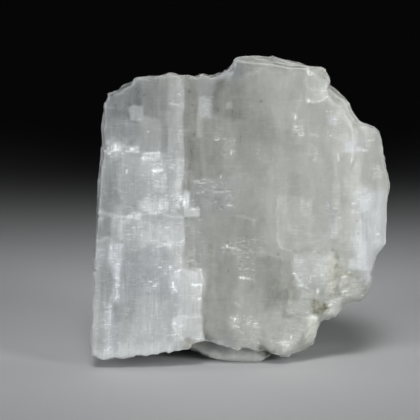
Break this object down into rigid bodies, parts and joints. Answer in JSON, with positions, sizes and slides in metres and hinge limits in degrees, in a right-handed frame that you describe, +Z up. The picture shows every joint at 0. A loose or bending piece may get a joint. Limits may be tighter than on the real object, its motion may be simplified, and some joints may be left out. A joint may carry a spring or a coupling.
{
  "type": "beryllonite crystal",
  "caption": "Broken, milky translucent crystal with a broad stepped cleavage face, which stands upright on its broken underside.",
  "frame": {"origin": "under the middle of the crystal's box, on the surface that its broken underside stands on", "axes": "+Z up along the cleavage grain, +X to the right as seen from the broad stepped face, -Y the way that face looks"},
  "size_m": [0.0258, 0.0136, 0.0271],
  "materials": {
    "crystal": "vitreous to pearly, milky and translucent, with white veils along the cleavage and a pale brown stain at the lower right"
  },
  "bodies": {
    "root": {"beryllonite_crystal": "crystal"}
  },
  "joints": []
}
